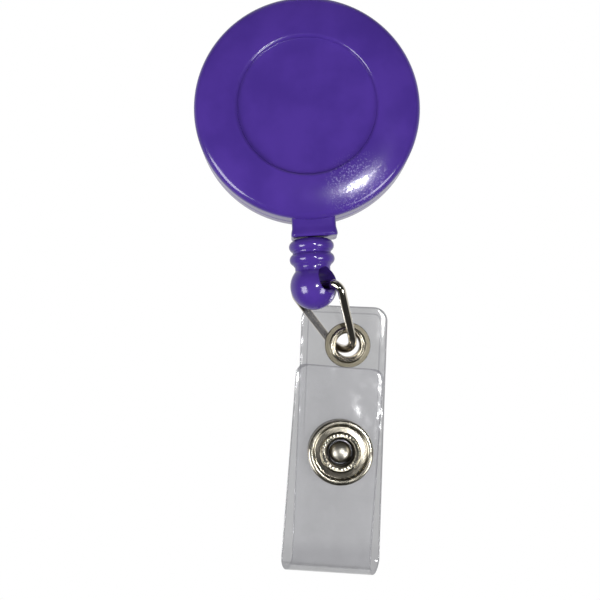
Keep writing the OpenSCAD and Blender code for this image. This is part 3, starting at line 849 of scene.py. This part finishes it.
def strap_path():
    """The sheet's middle line from the side: down the hanging layer, round the fold, up the flap."""
    points = [(d * math.sin(TOP_LEAN), -d * math.cos(TOP_LEAN)) for d in (-STRAP_UP, 0, STRAIGHT)]
    for k in range(1, 9):
        a = TOP_LEAN * (1 - k / 8)
        points.append((hang_y - lean_r * (1 - math.cos(a)), hang_z + lean_r * math.sin(a)))
    points += arc((hang_y - fold_r, fold_z), fold_r, 0, -180, 24)
    points.append((hang_y - 2 * fold_r, FLAP_UP))
    return with_runs(points)


def build_strap():
    """One sheet with three holes. The flap is skewed, so it turns a little round the fold."""
    path = strap_path()
    length = path[-1][0]
    flap_run = length - (FLAP_UP - fold_z)
    fold_run = flap_run - math.pi * fold_r
    flap_x = STRAP_OFF + FLAP_OFF

    def place(u, y, z, run):
        share = min(max((run - fold_run) / (flap_run - fold_run), 0), 1)
        share = share * share * (3 - 2 * share)
        hung = Vector((STRAP_OFF + u, y, z))
        up = z + SNAP_DROP
        skewed = Vector((
            flap_x + u * math.cos(FLAP_SKEW) + up * math.sin(FLAP_SKEW),
            y,
            -SNAP_DROP - u * math.sin(FLAP_SKEW) + up * math.cos(FLAP_SKEW),
        ))
        return strap_place(*hung.lerp(skewed, share))

    sheet = strip("strap_sheet", path, place, STRAP_W, STRAP_T,
                  (STRAP_CORNER, FLAP_CORNER), STRAP_EDGE, 16)
    snap_back = strap_place(STRAP_OFF, hang_y, -SNAP_DROP)
    snap_front = snap_back + FRONT * 2 * fold_r
    for radius, middle, axis in (
        (EYE_OUT, eyelet, eyelet_axis), (CAP_POST_R, snap_back, BACK),
        (RING_BARREL_R, snap_front, BACK),
    ):
        carve(sheet, rod(radius + PLAY, middle, axis, -1, 1), sharp=STRIP_SHARP)
    vinyl = clear_vinyl(length, STRAP_CORNER, fold_run + math.pi * fold_r / 2)
    finish_piece(sheet, None, "vinyl", vinyl, "strap_back", "strap_flap")
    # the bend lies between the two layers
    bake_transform(sheet)


# --- cord, strain relief and link ----------------------------------------------------------------

def build_cord():
    """The cord's end from the case, a straight tube over the height of its CAD node."""
    low, high = corners("cord_end")
    steps = 60
    path = [(ball.x, ball.y, high.z + (low.z - high.z) * i / steps) for i in range(steps + 1)]
    line = tube("cord_tube", path, CORD_D / 2, False, 24)
    finish_piece(line, None, "cord", cord, "cord_end")
    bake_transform(line)


def build_knot():
    low, high = corners("cord_knot")
    radius = (high.z - low.z) / 2
    knot = lathe("knot", arc((0, 0), radius, 90, -90, 24), (low + high) / 2, UP, 48)
    finish_piece(knot, "cord", "cord", cord, "cord_knot")


def build_relief():
    """A flat top, two ribs with grooves and a ball with a flared cross hole."""
    rib_1 = RELIEF_TOP - RIB_H / 2 - RIB_GAP
    rib_2 = rib_1 - RIB_H - RIB_GAP
    rib_at = RIB_R - RIB_H / 2
    throat = math.degrees(math.acos(THROAT_R / ball_r))
    profile = [(r, RELIEF_TOP - drop) for r, drop in ((0, 0), (2.3, 0), (2.52, 0.05), (2.62, 0.14))]
    profile += arc((rib_at, rib_1), RIB_H / 2, 56, -60, 16)
    profile += [(GROOVE_R, rib_1 - RIB_H / 2 - 0.05)]
    profile += arc((rib_at, rib_2), RIB_H / 2, 60, -60, 16)
    throat_z = rib_2 - RIB_H / 2
    profile += [(THROAT_R + 0.02, throat_z - 0.22), (THROAT_R, throat_z - 0.36)]
    profile += arc((0, ball.z), ball_r, throat, -90, 40)
    bumper = lathe("bumper", profile, (ball.x, ball.y, 0), UP, 160)
    mouth = math.sqrt(ball_r ** 2 - BALL_HOLE_R ** 2)
    flare_r = BALL_HOLE_R + HOLE_FLARE
    half = [(0, mouth + 3), (flare_r + 3, mouth + 3)]
    half += arc((flare_r, mouth - HOLE_FLARE), HOLE_FLARE, 90, 180, 6)[1:]
    hole = half + [(r, -h) for r, h in reversed(half)]
    hole_at = ball + UP * HOLE_UP
    carve(bumper, lathe("tool", hole, hole_at, hole_axis, 96))
    knot_top = corners("cord_knot")[1].z - hole_at.z
    carve(bumper, rod(CORD_D / 2 + CORD_PLAY, hole_at, UP, 0, 10, 48))
    carve(bumper, rod(KNOT_R + CORD_PLAY, hole_at, UP, 0, knot_top, 48))
    finish_piece(bumper, "cord_stop", "case", purple, "strain_relief")


def build_link():
    """A wire triangle with rounded corners. tip is where its legs would meet with no bend there."""
    bar = pivot("link_pivot")
    swing_back = Matrix.Rotation(LINK_SWING, 3, hole_axis) @ -UP
    half = LINK_BASE / 2
    narrow = 1 - (TIP_BEND / half) ** 2
    bend_z = LINK_H - TIP_BEND
    tip = (bend_z + math.sqrt(bend_z ** 2 - narrow * (bend_z ** 2 - TIP_BEND ** 2))) / narrow
    flat = rounded([(-half, 0, BASE_BEND), (half, 0, BASE_BEND), (0, tip, TIP_BEND)], 16)
    path = []
    for i, point in enumerate(flat):
        onward = flat[(i + 1) % len(flat)]
        path.append(point)
        if (onward - point).length > 2:
            path += [point.lerp(onward, k / 8) for k in range(1, 8)]
    placed = [bar + hole_axis * p.x + swing_back * p.y for p in path]
    wire = tube("wire_triangle", placed, WIRE_D / 2, True)
    finish_piece(wire, "link", "nickel", nickel, "wire_link")


# --- eyelet and snap -----------------------------------------------------------------------------

def build_eyelet():
    """A rolled barrel with a flange in front, and a flat washer behind. Heights run forwards."""
    face = STRAP_T / 2 + PLAY
    rear = -face - WASHER_T - PLAY
    front = rounded([
        (EYE_OUT, face), (EYE_FLANGE, face, 0.05), (EYE_FLANGE - 0.1, face + 0.14, 0.05),
        (2.62, face + 0.12, 0.1), (2.5, face + 0.5, 0.16), (2.3, face + 0.66, 0.1),
        (2.12, face + 0.42, 0.06), (1.98, face + 0.5, 0.08), (EYE_IN + 0.06, face + 0.2, 0.2),
        (EYE_IN, rear), (EYE_IN + 0.1, rear - 0.36, 0.1), (EYE_IN + 0.6, rear - 0.4, 0.2),
        (EYE_IN + 0.72, rear), (EYE_OUT, rear),
    ])
    barrel = lathe("eyelet_barrel", front, eyelet, -eyelet_axis, 128)
    finish_piece(barrel, "strap", "nickel", eyelet_nickel, "eyelet")
    washer = rounded([
        (EYE_OUT + PLAY, -face), (EYE_FLANGE, -face, 0.03),
        (EYE_FLANGE - 0.1, -face - WASHER_T, 0.06), (EYE_OUT + PLAY, -face - WASHER_T),
    ])
    ring = lathe("eyelet_ring", washer, eyelet, -eyelet_axis, 128)
    finish_piece(ring, "strap", "nickel", eyelet_nickel, "eyelet_washer")


def build_snap():
    """Ring and socket on the flap, stud and cap on the hanging layer. Heights run forwards."""
    seat = strap_place(STRAP_OFF, hang_y - STRAP_T / 2, -SNAP_DROP)
    face = LAYER_GAP + STRAP_T + PLAY

    def bead(r, h, angle):
        """Small scallops round the inner lip."""
        if h < face + BEAD_FROM or r > BEAD_R:
            return 0
        return BEAD_H * math.cos(BEADS * angle)

    ring = rounded([
        (RING_HOLE_R, LAYER_GAP - 0.25), (RING_HOLE_R, face + 0.66, 0.2), (2.66, face + 0.7, 0.2),
        (2.82, face + 0.26, 0.1), (3.72, face + 0.2, 0.2), (3.84, face + 0.8, 0.18),
        (SNAP_R - 0.06, face + 0.82, 0.36), (SNAP_R, face + 0.1, 0.2), (SNAP_R - 0.4, face, 0.1),
        (RING_BARREL_R, face), (RING_BARREL_R, LAYER_GAP - 0.25),
    ], 8)
    piece = lathe("snap_face", ring, seat, FRONT, BEADS * 10, bead)
    finish_piece(piece, "flap", "nickel", snap_nickel, "snap_ring")

    bottom, top = 0.75, LAYER_GAP - PLAY
    body = rounded([
        (SOCKET_HOLE_R, bottom), (SOCKET_R - 0.02, bottom, 0.38), (SOCKET_R, top, 0.1),
        (RING_BARREL_R + PLAY, top), (RING_BARREL_R + PLAY, top - SOCKET_LIP),
        (SOCKET_HOLE_R, top - SOCKET_LIP),
        (SOCKET_HOLE_R, SPRING_W[1]), (SPRING_GROOVE_R, SPRING_W[1]), (SPRING_GROOVE_R, SPRING_W[0]),
        (SOCKET_HOLE_R, SPRING_W[0]),
    ])
    piece = lathe("snap_body", body, seat, FRONT, 160)
    finish_piece(piece, "flap", "nickel", nickel, "snap_socket")

    post = [(CAP_POST_R + PLAY, PLAY), (3.55, PLAY), (3.6, 0.08), (3.6, 0.3), (3.4, 0.45)]
    post += [(POST_R + 0.25, 0.5), (POST_R + 0.06, 0.58), (POST_R, 0.75), (POST_R, DOME_H - 0.5)]
    post += [
        (STUD_R * math.cos(a), DOME_H + 0.95 * math.sin(a))
        for a in [math.radians(-25 + 115 * k / 18) for k in range(19)]
    ]
    post += [(0, 1.8), (CAP_POST_R + PLAY, 1.8)]
    piece = lathe("snap_post", post, seat, FRONT, 128)
    finish_piece(piece, "strap", "nickel", stud_nickel, "snap_stud")

    rear = -STRAP_T - PLAY
    cap = [(0, 1.7), (CAP_POST_R, 1.7), (CAP_POST_R, rear)]
    cap += [(SNAP_R - 0.2, rear), (SNAP_R - 0.03, rear - 0.06)]
    cap += [
        (SNAP_R * math.cos(a), rear - 0.2 - 0.7 * math.sin(a))
        for a in [math.pi / 2 * k / 16 for k in range(17)]
    ]
    piece = lathe("snap_back", cap, seat, FRONT, 160)
    finish_piece(piece, "strap", "nickel", nickel, "stud_cap")


build_front()
build_back()
build_clip()
build_axle()
build_strap()
build_cord()
build_knot()
build_relief()
build_link()
build_eyelet()
build_snap()

for node, material in {
    "spool": spool_finish, "power_spring": spring_steel, "snap_spring": spring_steel,
    "cord_wound": cord, "cord_lead": cord,
}.items():
    mesh = frame["nodes"][node].data
    mesh.materials.clear()
    mesh.materials.append(material)


# --- studio --------------------------------------------------------------------------------------

FLOOR_CLEAR = 40                # the floor lies this far below the reel with its cord pulled out
floor_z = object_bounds()[0][2] / MM - joints["cord_pull"]["range_m"][1] / MM - FLOOR_CLEAR
FLOOR_HALF_W = 2500
FLOOR_FRONT = -1800
BACKDROP_Y = 1500
BACKDROP_TOP = 1800
BACKDROP_R = 500                # curve between the floor and the backdrop
BEHIND_VINYL = 0.50             # tone of the backdrop where it is seen through the clear strap
MIRROR_FRONT = 0.03             # how bright the studio looks in reflections, in front and behind
MIRROR_BEHIND = 0.75


def studio_white(name):
    """Matt white: even and pale to the camera, greyer through the strap, dim in front in mirrors."""
    s = Shader(name)
    path = s.node("LightPath")
    matt = s.node("BsdfDiffuse", Color=(0.88, 0.88, 0.88))
    depth = s.node("SeparateXYZ", Vector=s.stretch(1, 1, 1)).outputs["Y"]
    mirrored = s.span(depth, 0, -1.3 * floor_z, MIRROR_FRONT, MIRROR_BEHIND)
    through = s.math("GREATER_THAN", path.outputs["Transparent Depth"], 0.5)
    seen = s.span(through, 0, 1, 1.0, BEHIND_VINYL)
    is_camera = path.outputs["Is Camera Ray"]
    tone = s.math("MULTIPLY_ADD", is_camera, s.math("SUBTRACT", seen, mirrored), mirrored)
    glow = s.node("Emission", Color=(1, 1, 1), Strength=tone)
    mix = s.node("MixShader")
    s.feed(mix.inputs[0], s.math("MAXIMUM", is_camera, path.outputs["Is Glossy Ray"]))
    s.feed(mix.inputs[1], matt.outputs[0])
    s.feed(mix.inputs[2], glow.outputs[0])
    return s.show(mix.outputs[0])


def build_floor():
    """A pale floor, below the cord's full reach, that curves up into a backdrop behind the reel."""
    curve_y = BACKDROP_Y - BACKDROP_R
    points = [(FLOOR_FRONT, floor_z), (curve_y, floor_z)]
    points += arc((curve_y, floor_z + BACKDROP_R), BACKDROP_R, -90, 0, 16)
    points += [(BACKDROP_Y, BACKDROP_TOP)]
    loops = [[Vector((x, y, z)) for y, z in points] for x in (-FLOOR_HALF_W, FLOOR_HALF_W)]
    count = len(points)
    faces = [(i, i + 1, count + i + 1, count + i) for i in range(count - 1)]
    floor = make_object("floor", loops[0] + loops[1], faces)
    floor.data.materials.append(studio_white("floor_white"))
    floor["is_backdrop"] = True


def softbox(name, place, aim, side, power):
    """A square area light, with its place, aim and side in millimetres."""
    lamp = bpy.data.lights.new(name, "AREA")
    lamp.shape = "RECTANGLE"
    lamp.size = lamp.size_y = side * MM
    lamp.energy = power
    obj = bpy.data.objects.new(name, lamp)
    obj.location = Vector(place) * MM
    obj.rotation_euler = (Vector(aim) - Vector(place)).to_track_quat("-Z", "Y").to_euler()
    bpy.context.scene.collection.objects.link(obj)


WORLD_FRONT = 0.10              # light from in front and from behind, for matt surfaces
WORLD_BEHIND = 0.75


def build_world():
    """White to the camera; to the object, bright behind and dim in front, dimmer in reflections."""
    world = bpy.data.worlds.new("studio")
    world.use_nodes = True
    bpy.context.scene.world = world
    tree = world.node_tree
    tree.nodes.clear()
    link = tree.links.new

    def ramp(source, low, high, to_low, to_high):
        made = tree.nodes.new("ShaderNodeMapRange")
        link(source, made.inputs["Value"])
        ends = {"From Min": low, "From Max": high, "To Min": to_low, "To Max": to_high}
        for key, value in ends.items():
            made.inputs[key].default_value = value
        return made.outputs[0]

    def pick(factor, a, b):
        made = tree.nodes.new("ShaderNodeMix")
        link(factor, made.inputs[0])
        link(a, made.inputs[2])
        link(b, made.inputs[3])
        return made.outputs[0]

    place = tree.nodes.new("ShaderNodeTexCoord")
    split = tree.nodes.new("ShaderNodeSeparateXYZ")
    link(place.outputs["Generated"], split.inputs[0])
    depth = split.outputs["Y"]
    path = tree.nodes.new("ShaderNodeLightPath")
    matt = ramp(depth, -0.7, 0.6, WORLD_FRONT, WORLD_BEHIND)
    mirrored = ramp(depth, -0.2, 0.35, MIRROR_FRONT, MIRROR_BEHIND)
    seen = ramp(path.outputs["Transparent Depth"], 0, 1, 1.0, BEHIND_VINYL)
    lit = pick(path.outputs["Is Glossy Ray"], matt, mirrored)
    sky = tree.nodes.new("ShaderNodeBackground")
    sky.inputs["Color"].default_value = (1, 1, 1, 1)
    link(pick(path.outputs["Is Camera Ray"], lit, seen), sky.inputs["Strength"])
    output = tree.nodes.new("ShaderNodeOutputWorld")
    link(sky.outputs[0], output.inputs["Surface"])


CAMERA_AIM = (-2.57, 3, -2.05)  # from the middle of the reel's width and height
CAMERA_DISTANCE = 140.85
CAMERA_TURN = (-0.55, -5.16, -3.38)     # azimuth, elevation and roll in degrees
CAMERA_LENS = 60


def build_camera():
    """Looks at the reel's middle from a little below, rolled so that it hangs to the lower right."""
    low, high = (Vector(corner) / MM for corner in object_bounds())
    aim = Vector(((low.x + high.x) / 2, 0, (low.z + high.z) / 2)) + Vector(CAMERA_AIM)
    azimuth, elevation, roll = (math.radians(a) for a in CAMERA_TURN)
    away = Vector((
        math.sin(azimuth) * math.cos(elevation),
        -math.cos(azimuth) * math.cos(elevation),
        math.sin(elevation),
    ))
    camera = bpy.data.cameras.new("camera")
    camera.lens = CAMERA_LENS
    camera.clip_start = 0.01
    obj = bpy.data.objects.new("camera", camera)
    obj.location = (aim + away * CAMERA_DISTANCE) * MM
    level = (-away).to_track_quat("-Z", "Y").to_matrix()
    obj.rotation_euler = (level @ Matrix.Rotation(roll, 3, "Z")).to_euler()
    bpy.context.scene.collection.objects.link(obj)
    bpy.context.scene.camera = obj


build_floor()
build_world()
softbox("key", (64, -236, -35), (6, 0, -12), 20, 0.26)
softbox("fill_left", (-230, -180, -110), (0, 0, -20), 150, 0.74)
softbox("fill_right", (190, -180, -160), (0, 0, -20), 110, 0.48)
softbox("top", (0, -40, 300), (0, 0, -20), 220, 0.05)
build_camera()
bpy.context.scene.view_settings.view_transform = "Standard"
